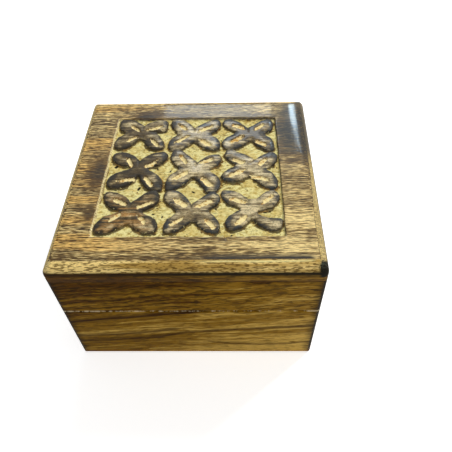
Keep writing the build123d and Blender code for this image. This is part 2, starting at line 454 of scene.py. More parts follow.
gouges = [  # start x, start y, end x, end y, width, bend
    (-29.9, 31.2, -25.2, 26.8, 1.4, 0), (-22.6, 27.9, -15.2, 31.1, 1.5, -0.5),
    (-30.5, 19.7, -25.8, 23.8, 1.6, 0), (-19.6, 21.4, -16, 16.7, 1.5, 0), (-7.9, 31.8, -3.5, 27.4, 1.5, 0),
    (1.2, 26.3, 7.7, 30.3, 1.8, 0), (-8.6, 18.4, -2.8, 23.7, 1.6, 0), (2.1, 20.9, 7.6, 16.1, 1.9, 0),
    (16.5, 31.3, 22.8, 27.8, 2.1, 0), (26.5, 26.6, 31.2, 31.8, 1.8, 0), (15.7, 18.4, 21.7, 22.8, 2.1, 0),
    (26.9, 19.7, 32, 16.2, 1.8, 0), (-28.6, 9.1, -25.6, 3.7, 1.6, 0), (-21, 2.9, -15.2, 7.4, 1.6, -0.7),
    (-31.2, -5.3, -22.6, -3.3, 1.6, -0.5), (-19.9, -2.5, -15.8, -8.7, 1.7, 0),
    (-5.9, 10.6, -2.5, 4.8, 1.7, 0), (2.9, 5.1, 8.8, 8.2, 2, 0), (-7.6, -4.7, -1.8, 0.1, 2.2, 0),
    (3.9, -3.7, 8.8, -9.3, 2.1, 0), (16.4, 7.5, 22, 4.9, 2, 0), (27.7, 3.2, 31.6, 8.2, 1.8, 0),
    (15.2, -3, 22.2, 0.9, 1.9, 0), (24.2, -2.7, 32.2, -5.6, 1.9, 0), (-30.8, -15.3, -24.8, -19, 1.8, 0),
    (-21.3, -20.5, -14.5, -17.2, 1.5, 0), (-30.5, -27.6, -25.9, -22.8, 1.5, 0),
    (-19.5, -24.1, -16.2, -28.9, 1.5, 0), (-6.3, -15.6, -0.7, -20.3, 2.3, 0),
    (2.3, -20.4, 9.5, -16.4, 1.9, 0), (-7.2, -29.6, -1.6, -25.4, 1.4, 0), (6.3, -26.3, 10.5, -31.6, 1.9, 0),
    (15.2, -15.1, 23, -18.2, 2.1, 0), (28.2, -19, 33.2, -13.6, 1.7, 0), (18.1, -29.4, 22.5, -24.6, 1.9, 0),
]

chips = [  # broken-out splinters in the ground: middle x, y, length, width, degrees
    (-14.5, 28, 2.2, 1.6, 20), (-21.3, -8.8, 2.4, 1.2, 70), (-32.6, 4.4, 2, 1.4, 50),
    (-14, -22.9, 1.3, 0.7, 10), (-10.3, -24.3, 1.4, 0.7, 80), (1, -11.1, 1.9, 0.8, -35),
    (-1, 16.4, 1.2, 0.6, 0), (-9.2, 1.6, 1.5, 0.7, 60), (-14.8, 2.8, 1.2, 0.7, 100),
    (29.4, -22.4, 1.6, 0.7, 0), (31.3, -22, 1.1, 0.6, 20), (14.6, -35.2, 2, 0.8, 75),
    (16.4, -33.9, 1.4, 0.7, 60), (13.2, -36.2, 1.2, 0.5, 0), (13, -2.2, 1.2, 0.6, 40),
    (12, 21, 1.1, 0.5, 90), (-12.2, -7.8, 1.2, 0.6, 20), (10.4, -20.6, 1.1, 0.6, -50),
    (35.4, 3, 1.1, 0.5, 80), (-35.2, -12, 1.3, 0.6, 80),
]

burns = [  # scorched patches, below zero cleaner ones, and on the petals the strongest below zero a painted sheen: middle x, y, reach along x, reach along y, strength
    (-38.8, -1, 3.6, 9, 1), (-38.6, -24, 2, 6, 0.9), (-23, 38.5, 6, 3, 0.95), (-6, 37.6, 9, 2, 0.6),
    (26, 37.2, 10, 2, 0.6), (12, 42.5, 18, 5, 0.3), (43, 26, 7, 14, 1.35), (45, 43, 5, 6, 0.8),
    (6, -37.2, 20, 1.8, 0.5), (48.4, 24, 2, 22, 1.1), (-43, 3, 6, 16, 0.38), (-46, -44, 5, 5, 0.4),
    (50.9, -48.8, 4.4, 3.8, 3.2), (-24, 22, 11, 16, 0.6), (-24, 0, 9, 12, 0.85), (24, 25, 9, 9, 0.5),
    (24, -20, 9, 9, -0.25), (24, 3, 9, 7, -0.15), (-24, -21, 9, 9, 0.35), (40, 4, 3, 5, 0.3),
    (42, -28, 9, 16, -0.9), (33, -40, 16, 5, -0.9), (1.5, 1.5, 4, 3.2, -1.05), (5.5, 18, 3.2, 2.8, -0.75),
    (14.5, 16.5, 3.2, 2.8, -0.95), (7, -43.4, 13, 2.2, 0.5),
]

tears = [  # torn, fibrous places in the ground: middle x, y, reach along x, reach along y, strength
    (10.8, 5, 1.8, 5, 1), (15.3, -34.2, 2.2, 2.6, 1), (-14.4, 28.6, 2, 1.6, 0.9), (19, -7.6, 5, 1.6, 0.8),
    (12.6, 25.5, 2.5, 3.5, 0.7), (-21.5, 14.6, 3, 1.4, 0.7), (-36, 2, 1, 5, 0.8), (31, -22.6, 2, 1, 0.8),
    (-11.9, -21, 1.5, 5, 0.6), (26, 36, 6, 1.6, 0.8), (13, -6, 1.5, 3, 0.6), (-12, -6, 1.2, 4, 0.7),
    (29, -8.6, 3, 1.4, 0.6), (0.5, 14.6, 3, 1.2, 0.5), (-0.5, -33.8, 3, 1, 0.5), (22.5, 35, 3, 1.5, 0.7),
]


def smoothArc(points, steps=5):
    # Catmull-Rom curve through the points: at each, the direction is that of the line between its neighbours
    p = np.array([points[0]] + list(points) + [points[-1]], float)
    t = np.linspace(0, 1, steps, endpoint=False)[None, :, None]
    p0, p1, p2, p3 = p[:-3, None], p[1:-2, None], p[2:-1, None], p[3:, None]
    curve = 0.5 * (2 * p1 + (p2 - p0) * t + (2 * p0 - 5 * p1 + 4 * p2 - p3) * t ** 2
                   + (3 * p1 - p0 - 3 * p2 + p3) * t ** 3)
    return curve.reshape(-1, 2)


def flowerReach(x, y, petals):
    # Signed distance from a flower's closed outline, positive inside: the least distance to any of its short
    # straight steps, with the sign from how often a line to the right of the point crosses them
    ends = [petals[i][0] for i in (1, 2, 3, 0)]
    outline = np.concatenate([smoothArc(list(petal) + [end]) for petal, end in zip(petals, ends)])
    nextPoint = np.roll(outline, -1, 0)
    reach = np.full(x.shape, -9.0)
    near = ((x > outline[:, 0].min() - 4) & (x < outline[:, 0].max() + 4)
            & (y > outline[:, 1].min() - 4) & (y < outline[:, 1].max() + 4))
    px, py = x[near][:, None], y[near][:, None]
    ax, ay = outline[:, 0][None], outline[:, 1][None]
    dx, dy = (nextPoint - outline)[:, 0][None], (nextPoint - outline)[:, 1][None]
    t = np.clip(((px - ax) * dx + (py - ay) * dy) / (dx * dx + dy * dy), 0, 1)
    gap = np.hypot(px - ax - t * dx, py - ay - t * dy).min(1)
    spans = (ay <= py) != (ay + dy <= py)
    crossing = ax + (py - ay) * dx / np.where(dy == 0, 1e-9, dy)
    inside = (spans & (crossing > px)).sum(1) % 2 == 1
    reach[near] = np.where(inside, gap, -gap)
    return reach


def gougeReach(x, y, gouge):
    # Distance inside one gouge: a superellipse about the middle of its line, bent to a parabola
    startX, startY, endX, endY, width, bend = gouge
    alongX, alongY = endX - startX, endY - startY
    length = math.hypot(alongX, alongY)
    offX, offY = x - (startX + endX) / 2, y - (startY + endY) / 2
    s = 2 * (offX * alongX + offY * alongY) / length ** 2
    t = (offY * alongX - offX * alongY) / length - bend * (1 - s ** 2)
    half = width / 2 + carving["gougeExtra"]
    return (1 - (np.abs(s) ** 3 + np.abs(t / half) ** 3) ** (1 / 3)) * half


def lattice(seed, x, y, stepX, stepY):
    # smooth random surface from -1 to 1: random values on a lattice, joined by smooth steps
    draw = np.random.default_rng(seed)
    table = draw.uniform(-1, 1, (128, 128))
    u, v = x / stepX + 64, y / stepY + 64
    i, j = np.floor(u).astype(int), np.floor(v).astype(int)
    a, b = u - i, v - j
    a, b = a * a * (3 - 2 * a), b * b * (3 - 2 * b)
    i, j, i1, j1 = i % 128, j % 128, (i + 1) % 128, (j + 1) % 128
    return (table[i, j] * (1 - a) * (1 - b) + table[i1, j] * a * (1 - b)
            + table[i, j1] * (1 - a) * b + table[i1, j1] * a * b)


def gridLines(half, fieldLow, fieldHigh):
    # line positions across the board: equal angles round the edge, wide steps on the border and fine ones
    # in the field
    c = carving
    edge = c["roundover"] * (1 - np.cos(np.linspace(0, np.pi / 2, c["roundSteps"])))
    low, high, flat = fieldLow - 1.0, fieldHigh + 1.0, half - c["roundover"]
    fine = np.linspace(low, high, int((high - low) / c["spacing"]))
    left = np.linspace(-flat, low, int((low + flat) / c["borderSpacing"]) + 1)
    right = np.linspace(high, flat, int((flat - high) / c["borderSpacing"]) + 1)
    return np.concatenate([-half + edge[:-1], left[:-1], fine, right[1:], (half - edge)[::-1][1:]])


def patches(x, y, rows):
    # soft-edged ellipses added up: strength times a bell curve of the distance from each middle
    total = np.zeros(x.shape)
    for middleX, middleY, reachX, reachY, strength in rows:
        total += strength * np.exp(-((x - middleX) / reachX) ** 2 - ((y - middleY) / reachY) ** 2)
    return total


def creaseMask(x, y):
    # a crease runs from each notch towards the middle of its flower and fades out: a bell curve across it
    crease = np.zeros(x.shape)
    for petalRows, hub in zip(outlines, hubs):
        for row in petalRows:
            startX, startY = row[0]
            alongX, alongY = hub[0] - startX, hub[1] - startY
            length = math.hypot(alongX, alongY)
            u = ((x - startX) * alongX + (y - startY) * alongY) / length
            v = ((x - startX) * alongY - (y - startY) * alongX) / length
            fade = np.clip(1 - u / carving["creaseReach"], 0, 1) * (u > -0.6)
            crease = np.maximum(crease, fade * np.exp(-(v / carving["creaseWidth"]) ** 2))
    return crease


def chipMask(x, y):
    # each chip is a flat-topped bell over its length and width, turned by its angle
    chip = np.zeros(x.shape)
    for chipX, chipY, chipLong, chipWide, turn in chips:
        cosine, sine = math.cos(math.radians(turn)), math.sin(math.radians(turn))
        u, v = (x - chipX) * cosine + (y - chipY) * sine, (y - chipY) * cosine - (x - chipX) * sine
        chip = np.maximum(chip, np.exp(-(2 * u / chipLong) ** 4 - (2 * v / chipWide) ** 4))
    return chip


def carvedSurface(halfX, halfY):
    # The top of the board as height over x and y, with the masks that its finish needs.
    # The outer lines are drawn in to round the upright corners (a square mapped onto a disc).
    c = carving
    xs = gridLines(halfX, c["fieldLeft"], c["fieldRight"])
    ys = gridLines(halfY, c["fieldFront"], c["fieldBack"])
    x, y = np.meshgrid(xs, ys, indexing="ij")
    inset = np.minimum(halfX - np.abs(x), halfY - np.abs(y))
    r = c["planCorner"]
    cornerX = np.clip(np.abs(x) - (halfX - r), 0, None)
    cornerY = np.clip(np.abs(y) - (halfY - r), 0, None)
    reach = np.hypot(cornerX, cornerY)
    atCorner = (cornerX > 0) & (cornerY > 0)
    pull = np.where(atCorner, np.maximum(cornerX, cornerY) / np.maximum(reach, 1e-9), 1.0)
    x = np.sign(x) * (np.abs(x) - cornerX * (1 - pull))
    y = np.sign(y) * (np.abs(y) - cornerY * (1 - pull))
    wobble = 0.22 * lattice(3, x, y, 3.5, 3.5) + 0.08 * lattice(4, x, y, 1.1, 1.1)
    field = np.minimum(np.minimum(x - c["fieldLeft"], c["fieldRight"] - x),
                       np.minimum(y - c["fieldFront"], c["fieldBack"] - y)) + wobble
    petals = np.full(x.shape, -9.0)
    cuts = np.full(x.shape, -9.0)
    for petalRows in outlines:
        petals = np.maximum(petals, flowerReach(x, y, petalRows))
    for gouge in gouges:
        cuts = np.maximum(cuts, gougeReach(x, y, gouge))
    petals = petals + 0.16 * lattice(5, x, y, 2.2, 2.2) + 0.10 * lattice(6, x, y, 0.8, 0.8)
    cuts = cuts + 0.26 * lattice(7, x, y, 1.0, 0.8) + 0.1 * lattice(10, x, y, 0.5, 0.5)
    shoulder = np.clip(petals / c["petalRound"], 0, 1)
    petalHeight = (c["depth"] - c["petalSink"]) * np.sqrt(1 - (1 - shoulder) ** 2)
    petalHeight -= c["crown"] * (1 - np.clip(petals / c["crownReach"], 0, 1)) ** 2 * shoulder
    crease, chip = creaseMask(x, y), chipMask(x, y)
    petalHeight = petalHeight - c["creaseDepth"] * crease * shoulder
    edge = np.clip(-field / c["borderRound"], 0, 1)
    borderHeight = c["depth"] * np.sqrt(1 - (1 - edge) ** 2)
    tool = 0.16 * lattice(8, x + y, x - y, 1.2, 3.4) + 0.11 * lattice(9, x, y, 0.9, 0.7)
    height = np.maximum(np.maximum(petalHeight, borderHeight), np.where(field > 0, c["groundRise"] + tool, 0))
    wall = np.clip(cuts / c["gougeWall"], 0, 1)
    scoop = np.sqrt(1 - (1 - wall) ** 2)
    height = height - (c["gougeDepth"] + tool) * scoop * np.clip(petals / 0.6, 0, 1) * (field > 0)
    height = np.maximum(height - c["chipDepth"] * chip, 0.02)
    fromHub = np.full(x.shape, 99.0)
    for middleX, middleY in hubs:
        fromHub = np.minimum(fromHub, np.hypot(x - middleX, y - middleY))
    bevel = c["roundover"]
    drop = bevel - np.sqrt(np.clip(bevel ** 2 - np.clip(bevel - inset, 0, None) ** 2, 0, None))
    z = height - c["depth"] - drop
    # how squarely the petals' edges face the front of the box, or, below zero, its back
    uphill = np.gradient(petals, axis=1) / np.maximum(np.gradient(y, axis=1), 0.05)
    facing = np.clip(uphill, -1, 1) * np.clip(petals + 2, 0, 1)
    burn, tear = patches(x, y, burns), patches(x, y, tears)
    masks = dict(petalEdge=petals, gougeEdge=cuts, fieldEdge=field, burn=burn, chip=chip, hub=fromHub,
                 crease=crease, facing=facing, tear=tear, bend=np.clip(1 - inset / bevel, 0, 1))
    return x, y, z, masks


def makeMesh(name, points, faces, masks, material, body, stands):
    # faces lists the points of each face; masks become point attributes; stands names what it replaces
    mesh = bpy.data.meshes.new(name)
    mesh.from_pydata(points.tolist(), [], faces)
    for maskName, values in masks.items():
        layer = mesh.attributes.new(maskName, "FLOAT", "POINT")
        layer.data.foreach_set("value", values.astype(np.float32).ravel())
    mesh.polygons.foreach_set("use_smooth", [len(face) < 5 for face in faces])
    mesh.update()
    piece = addObject(name, mesh)
    piece.data.materials.append(material)
    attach(piece, body)
    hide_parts(*stands)
    return piece


def carvedBoard(material):
    low, high = (np.array(corner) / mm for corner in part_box("lid_top_board"))
    x, y, z, masks = carvedSurface(high[0], high[1])
    rows, columns = x.shape
    top = np.stack([x, y, z + high[2]], -1).reshape(-1, 3)
    index = np.arange(rows * columns).reshape(rows, columns)
    quads = np.stack([index[:-1, :-1], index[1:, :-1], index[1:, 1:], index[:-1, 1:]], -1).reshape(-1, 4)
    # the rim of the grid, walked once round anticlockwise, is repeated lower down for the sides
    rim = np.concatenate([index[:-1, 0], index[-1, :-1], index[:0:-1, -1], index[0, :0:-1]])
    side = top[rim].copy()
    side[:, 2] = low[2]
    count = len(rim)
    lower = rows * columns + np.arange(count)
    sideQuads = np.stack([np.roll(rim, -1), rim, lower, np.roll(lower, -1)], -1)
    points = np.concatenate([top, side]) * mm
    masks = {name: np.concatenate([values.ravel(), values.ravel()[rim]]) for name, values in masks.items()}
    faces = quads.tolist() + sideQuads.tolist() + [lower[::-1].tolist()]
    return makeMesh("carvedBoard", points, faces, masks, material, "lid", ["lid_top_board"])


finish = palette(
    borderDark=(78, 58, 26),
    borderMiddle=(160, 130, 74),
    borderLight=(252, 224, 152),
    orange=(196, 140, 70),
    tan=(252, 222, 160),
    burnt=(68, 62, 50),
    brownBurnt=(92, 66, 26),
    soot=(26, 29, 31),
    brownSoot=(46, 36, 24),
    ground=(200, 180, 104),
    groundLight=(240, 229, 160),
    groundShade=(150, 122, 64),
    gouge=(252, 234, 172),
    gougeShade=(206, 160, 84),
    gougeWall=(96, 64, 24),
    back=(140, 122, 84),
    backLight=(222, 204, 158),
    groundOchre=(206, 174, 88),
    ash=(128, 122, 104),
    frost=(206, 198, 184),
    cinder=(58, 64, 54),
    backDark=(78, 64, 42),
    shoulder=(42, 40, 36),
    shoulderBlue=(52, 60, 66),
    outline=(14, 12, 8),
    footTone=(46, 39, 26),
    pale=(248, 218, 140),
    paleShade=(176, 142, 70),
    sideWood=(204, 184, 130),
)
finish.update(
    roughness=0.40,
    gloss=0.2,
    sheen=(1.0, 0.85, 0.6, 1.0),
    polish=0.25,  # weight of the wax coat on what stands proud
    polishRoughness=0.045,
    relief=0.06,
    polishRelief=0.008,
    borderSteps=(0.40, 0.50, 0.63),
    backSteps=(0.70, 0.81, 0.95),
    groundSteps=(0.26, 0.37, 0.53),
    lineFront=45.3,  # the dark line lies this far in front of the middle, in mm
    sandedLeft=46.2,  # and the sanded edge begins here at the left
    sandedRight=45.8,
)


def patchMask(g, middleX, middleY, reach):
    # 1 at a place on the board, given in millimetres, fading to 0 at the reach
    across = minus(g.x, middleX * mm)
    along = minus(g.y, middleY * mm)
    squares = timesPlus(across, across, times(along, along))
    return ease(squares, 0.0, (reach * mm) ** 2, 1.0, 0.0)


def boardPatterns():
    # what the board's woods are mixed from: the grain, finer noises and the masks that the surface carries;
    # front and lee tell petal edges that face the front of the box from those that face its back
    point = objectPoint()
    g = grainPatterns(point, "x", grain["boardWaver"], grain["boardTilt"])
    g.point = point
    g.petal, g.gouge, g.field = (attribute(name) for name in ("petalEdge", "gougeEdge", "fieldEdge"))
    g.facing = attribute("facing")
    g.front = larger(g.facing, 0.0)
    g.lee = times(smaller(g.facing, 0.0), -1.0)
    for name in ("burn", "bend", "chip", "hub", "crease", "tear"):
        setattr(g, name, attribute(name))
    g.speck = noise(g.point, (1500, 1500, 1500), 2.0, 0.6)
    g.fray = times(minus(g.speck, 0.5), 0.9)
    g.streaky = minus(g.streak, 0.5)
    g.fibre = minus(g.fine, 0.5)
    g.cloud = noise(g.point, (110, 160, 110), 2.0, place=(4, 1, 2))
    return g


def borderWood(g):
    # tan with brown streaks and dark pores, scorched in patches
    tone = timesPlus(g.band, 0.35, timesPlus(g.streak, 0.3, -0.75))
    tone = timesPlus(g.fine, 0.9, timesPlus(g.burn, -0.12, tone))
    tone = timesPlus(g.hair, 0.9, tone)
    far = larger(easeMm(g.y, 34, 40), easeMm(g.x, -40, -34, 1.0, 0.0))
    tone = timesPlus(minus(tone, 0.5), timesPlus(far, 0.65, 0.8), 0.5)
    tone = plus(tone, easeMm(g.x, -46, 6, 0.055, 0.012))
    wood = threeTones(tone, finish["borderDark"], finish["borderMiddle"], finish["borderLight"],
                      finish["borderSteps"])
    left = easeMm(g.x, -46, 6, 0.7, 0.0)
    wood = blend(times(left, ease(g.band, 0.4, 0.6)), wood, finish["tan"], "MULTIPLY")
    wood = darken(wood, g.dash, 0.52, 0.60, 0.62)
    g.pores = noise(g.point, (520, 2500, 2500), 1.0, place=(7, 2, 5))
    wood = darken(wood, g.pores, 0.54, 0.64, 0.66)
    scorch = timesPlus(g.streaky, 2.4, timesPlus(g.fibre, 2.2, g.burn))
    burnt = blend(easeMm(g.x, 0, 38), finish["brownBurnt"], finish["burnt"])
    wood = blend(ease(scorch, 0.32, 0.85, 0.0, 0.8), wood, burnt)
    # a painted grey sheen, a reflection, over the middle of the back border
    hazy = times(easeMm(g.x, 16, 34, 1.0, 0.4), easeMm(g.y, 33, 36), easeMm(g.x, -18, -8, 0.0, 0.5))
    wood = blend(times(hazy, ease(g.streak, 0.38, 0.55, 1.0, 0.5)), wood, finish["ash"])
    soot = blend(easeMm(g.x, -34, -14), finish["brownSoot"], finish["soot"])
    wood = blend(ease(scorch, 0.60, 1.15, 0.0, 0.96), wood, soot)
    # lighter fibres left between the scorched ones
    kept = times(ease(scorch, 0.6, 1.0), ease(g.hair, 0.58, 0.66, 0.0, 0.45))
    return blend(kept, wood, finish["borderMiddle"])


def petalWood(g):
    # mottled backs, charcoal shoulders that are widest on the side away from the front, dark feet with
    # painted shadow at the front edges
    mottle = noise(g.point, (210, 330, 210), 3.0, 0.55, place=(7, 1, 4))
    mottled = minus(mottle, 0.5)
    inward = timesPlus(g.petal, 0.9, timesPlus(g.hub, -0.10, 0.7))
    inward = plus(inward, timesPlus(g.fray, 0.8, times(g.streaky, 1.6)))
    inward = minus(inward, plus(g.burn, times(g.lee, -0.2)))
    inward = timesPlus(mottled, 7.0, timesPlus(g.front, 1.1, inward))
    tone = timesPlus(mottle, 0.7, timesPlus(g.fine, 0.5, times(g.streak, 0.45)))
    tone = minus(tone, times(g.burn, 0.2))
    back = threeTones(tone, finish["backDark"], finish["back"], finish["backLight"], finish["backSteps"])
    warm = times(easeMm(g.x, -26, -8, 0.6, 0.0), easeMm(g.y, -24, -4, 1.0, 0.0))
    back = blend(times(warm, ease(g.streak, 0.44, 0.58)), back, finish["orange"])
    # the shoulders of the middle and right flowers turn blue-grey: a painted reflection of the sky
    cool = times(easeMm(g.x, -14, -4), ease(g.cloud, 0.35, 0.55, 0.4, 1.0))
    shoulder = blend(cool, finish["shoulder"], finish["shoulderBlue"])
    shoulder = blend(ease(g.fine, 0.50, 0.62, 0.0, 0.5), shoulder, finish["backDark"])
    wood = blend(ease(inward, 0.0, 2.5), shoulder, back)
    # pale where the patches are most below zero: a painted sheen on the petals
    frosty = times(ease(g.burn, -1.0, -0.5, 0.55, 0.0), ease(g.streak, 0.35, 0.6, 1.0, 0.55))
    wood = blend(frosty, wood, finish["frost"])
    wood = darken(wood, g.dash, 0.53, 0.61, 0.6)
    wood = darken(wood, g.speck, 0.50, 0.68, 0.55)
    # a dark scorched line at the foot of each petal, darker on edges that face the front of the box as
    # painted shadow
    outline = plus(g.petal, timesPlus(g.fray, 0.7, times(g.front, 0.06)))
    outline = ease(outline, 0.08, 0.28, timesPlus(g.front, 0.15, 0.65), 0.0)
    wood = blend(outline, wood, finish["footTone"])
    # the creases darkened near black: painted shade in the grooves
    wood = blend(times(g.crease, 0.9), wood, finish["outline"])
    # pale flecks near the petals' edges: nicks down to bare wood, and painted glints
    flecks = noise(g.point, (1100, 1500, 900), 1.0, place=(9, 3, 1))
    flecks = times(ease(flecks, 0.69, 0.74), ease(g.petal, 0.2, 0.8, 0.7, 0.0))
    return blend(flecks, wood, finish["groundLight"])


def groundWood(g):
    # bare pale wood with torn fibres, browner and more broken beside the petals, with painted shadow in front
    # of them and painted light behind them
    g.groundTone = noise(g.point, (620, 800, 700), 3.0, 0.6)
    nearPetal = ease(g.petal, -1.8, -0.2)
    torn = timesPlus(g.tear, 0.12, times(nearPetal, 0.05))
    # lighter next to the petals' back edges: painted light on the ground behind them
    torn = minus(torn, times(nearPetal, 0.06, g.lee))
    ground = threeTones(minus(g.groundTone, torn), finish["groundShade"], finish["ground"],
                        finish["groundLight"], finish["groundSteps"])
    ochre = noise(g.point, (170, 240, 170), 2.0, place=(6, 2, 9))
    ground = blend(ease(ochre, 0.48, 0.62, 0.0, 0.45), ground, finish["groundOchre"])
    fibres = noise(g.point, (330, 1900, 600), 2.0, place=(3, 5, 2))
    ground = darken(ground, fibres, 0.58, 0.68, 0.62)
    # a dark scorched foot round the petals, wider and darker in front of them as a painted shadow
    ragged = noise(g.point, (520, 640, 520), 3.0, 0.65, place=(5, 8, 2))
    ragged = timesPlus(minus(ragged, 0.5), 3.0, g.petal)
    ragged = plus(ragged, timesPlus(g.facing, 0.7, times(g.tear, 0.6)))
    foot = ease(ragged, -0.42, -0.15, 0.0, 0.85)
    ground = blend(foot, ground, blend(g.front, finish["gougeWall"], finish["footTone"]))
    amber = times(ease(g.cloud, 0.56, 0.68), ease(g.petal, -1.4, -0.1, 0.0, 0.42))
    ground = blend(amber, ground, finish["gougeShade"])
    specks = plus(noise(g.point, (1000, 1500, 900), 1.0, place=(2, 6, 3)), torn)
    ground = blend(ease(specks, 0.69, 0.75, 0.0, 0.9), ground, finish["gougeWall"])
    # the chips painted near black: painted shade in these hollows
    return blend(ease(g.chip, 0.3, 0.7), ground, finish["outline"])


def gougeWood(g):
    # bare again, dark brown on their walls as painted shade in the cut, and a little browner in the flower at
    # the back right
    browner = patchMask(g, 22, 24, 14)
    cutTone = minus(timesPlus(g.fibre, 0.5, g.groundTone), times(browner, 0.09))
    cutTone = blend(ease(cutTone, 0.30, 0.48), finish["gougeShade"], finish["gouge"])
    wallShare = ease(timesPlus(g.fray, 0.8, g.gouge), 0.02, 0.18)
    return blend(wallShare, finish["gougeWall"], cutTone)


def scoreField(g, colour):
    # line round the carved field: dark on the right, a painted shade of the field's wall there, and scorched
    # at the back; pale on the left and at the front, a painted highlight of its lit edge
    gap = absolute(plus(g.field, 0.12))
    backward = times(easeMm(g.y, 34, 35.5), ease(g.cloud, 0.42, 0.54, 0.15, 0.9))
    scored = times(larger(easeMm(g.x, 34, 36), backward), ease(g.speck, 0.34, 0.5, 0.5, 1.0))
    colour = blend(times(scored, ease(gap, 0.05, 0.34, 0.75, 0.0)), colour, finish["outline"])
    marks = noise(g.point, (500, 260, 500), 2.0, place=(4, 4, 1))
    marks = times(ease(marks, 0.52, 0.58), ease(gap, 0.3, 1.1, 0.9, 0.0))
    colour = blend(times(marks, easeMm(g.x, -36, -34, 1.0, 0.0)), colour, finish["gougeWall"])
    # the pale edge on the left and front is a painted highlight over bare wood
    leftOrFront = larger(easeMm(g.x, -36.6, -33, 1.0, 0.0), easeMm(g.y, -35.6, -33, 0.7, 0.0))
    rubbed = times(ease(gap, 0.0, 0.5, 0.95, 0.0), leftOrFront, ease(g.speck, 0.36, 0.48))
    return blend(rubbed, colour, finish["gouge"])


def scoreFront(g, colour):
    # dark line along the front of the border, with a soft brown shade behind it
    g.frontLine = timesPlus(g.streaky, 1.2 * mm, plus(g.y, finish["lineFront"] * mm))
    g.lineLength = times(easeMm(g.x, 0, 16), easeMm(g.x, 44, 47, 1.0, 0.0))
    shade = times(easeMm(g.frontLine, 0.2, 3.2, 0.9, 0.0), easeMm(g.frontLine, -0.6, -0.2))
    colour = blend(times(shade, g.lineLength), colour, finish["burnt"])
    shade = easeMm(absolute(g.frontLine), 0.2, 0.75, 0.95, 0.0)
    return blend(times(shade, g.lineLength), colour, finish["soot"])


def sandedWood(g):
    # pale with short dark dashes, dotted at the sides, with a painted highlight along the top of the band
    tone = plus(g.streak, easeMm(g.x, -50, -6, 0.26, -0.08), easeMm(g.x, 14, 40, 0.0, 0.1))
    wood = blend(ease(tone, 0.38, 0.62), finish["paleShade"], finish["pale"])
    wood = blend(ease(g.pores, 0.50, 0.58, 0.0, 0.8), wood, finish["brownBurnt"])
    onSide = easeMm(absolute(g.x), 47, 49)
    wood = blend(times(onSide, 0.6), wood, finish["sideWood"])
    wood = darken(wood, times(ease(g.speck, 0.50, 0.60), onSide), 0.0, 1.0, 0.5)
    glint = easeMm(absolute(plus(g.frontLine, 1.2 * mm)), 0.1, 0.5, 0.7, 0.0)
    return blend(times(glint, g.lineLength), wood, finish["groundLight"])


def sandEdges(g, colour):
    # also gives back where the board is sanded, and draws a scorched line along the edge of that
    x, y = g.x, g.y
    # the side edges are sanded less far in than the front one, and the right one not at all at the back
    narrow = larger(easeMm(x, 46, 47, 1.0, 0.0), easeMm(y, -34, 8, 0.25, 1.0))
    narrow = times(easeMm(absolute(x), 47, 47.6, 0.0, 0.40), narrow)
    rim = timesPlus(g.fray, 0.08, minus(g.bend, narrow))
    # the front one is sanded a little past its bend
    farther = plus(y, easeMm(x, -10, 30, finish["sandedLeft"] * mm, finish["sandedRight"] * mm))
    farther = timesPlus(g.fray, 0.5 * mm, timesPlus(g.streaky, 1.2 * mm, farther))
    farther = easeMm(farther, -0.3, 0.3, 1.0, 0.0)
    arris = times(ease(rim, 0.0, 0.05), ease(rim, 0.05, 0.12, 1.0, 0.0))
    unsanded = times(easeMm(x, 46.5, 47.2), easeMm(y, 4, 14, 0.0, 0.9))
    sanded = times(larger(ease(rim, 0.03, 0.12), farther), minus(1.0, unsanded))
    arris = times(arris, timesPlus(farther, -0.8, 1.0))
    colour = blend(sanded, colour, sandedWood(g))
    dashed = larger(ease(g.band, 0.4, 0.6, 0.0, 0.6), ease(g.speck, 0.44, 0.54, 0.0, 0.8))
    return blend(times(arris, dashed), colour, finish["outline"]), sanded


def sidesAndCorner(g, colour):
    # below the roundover the board is finished as the walls are, after a scorched line
    x, y, z = g.x, g.y, g.z
    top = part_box("lid_top_board")[1].z
    below = plus(minus(top - 1.9 * mm, z), times(g.streaky, 0.8 * mm))
    wall = wallColour(g, "x")
    lineShare = easeMm(timesPlus(g.streaky, 60 * mm, x), -40, 10, 0.6, 0.97)
    wall = blend(times(easeMm(below, 0.7, 2.6, 1.0, 0.0), lineShare), wall, finish["outline"])
    # the underside, seen when the lid is open, is bare
    within = larger(absolute(x), absolute(y))
    wall = blend(easeMm(within, 48, 49, 1.0, 0.0), wall, bareColour(g))
    colour = blend(easeMm(below, -0.4, 0.4), colour, wall)
    # the front right corner is burnt to cinder
    charred = ease(plus(g.fray, minus(g.burn, 1.0)), 0.0, 0.8)
    charred = times(charred, easeMm(y, -44, -42, 1.0, 0.0), ease(z, top - 5 * mm, top - 4 * mm))
    cinder = blend(ease(timesPlus(g.speck, 1.6, g.bend), 0.9, 1.5), finish["cinder"], finish["outline"])
    return blend(charred, colour, cinder)


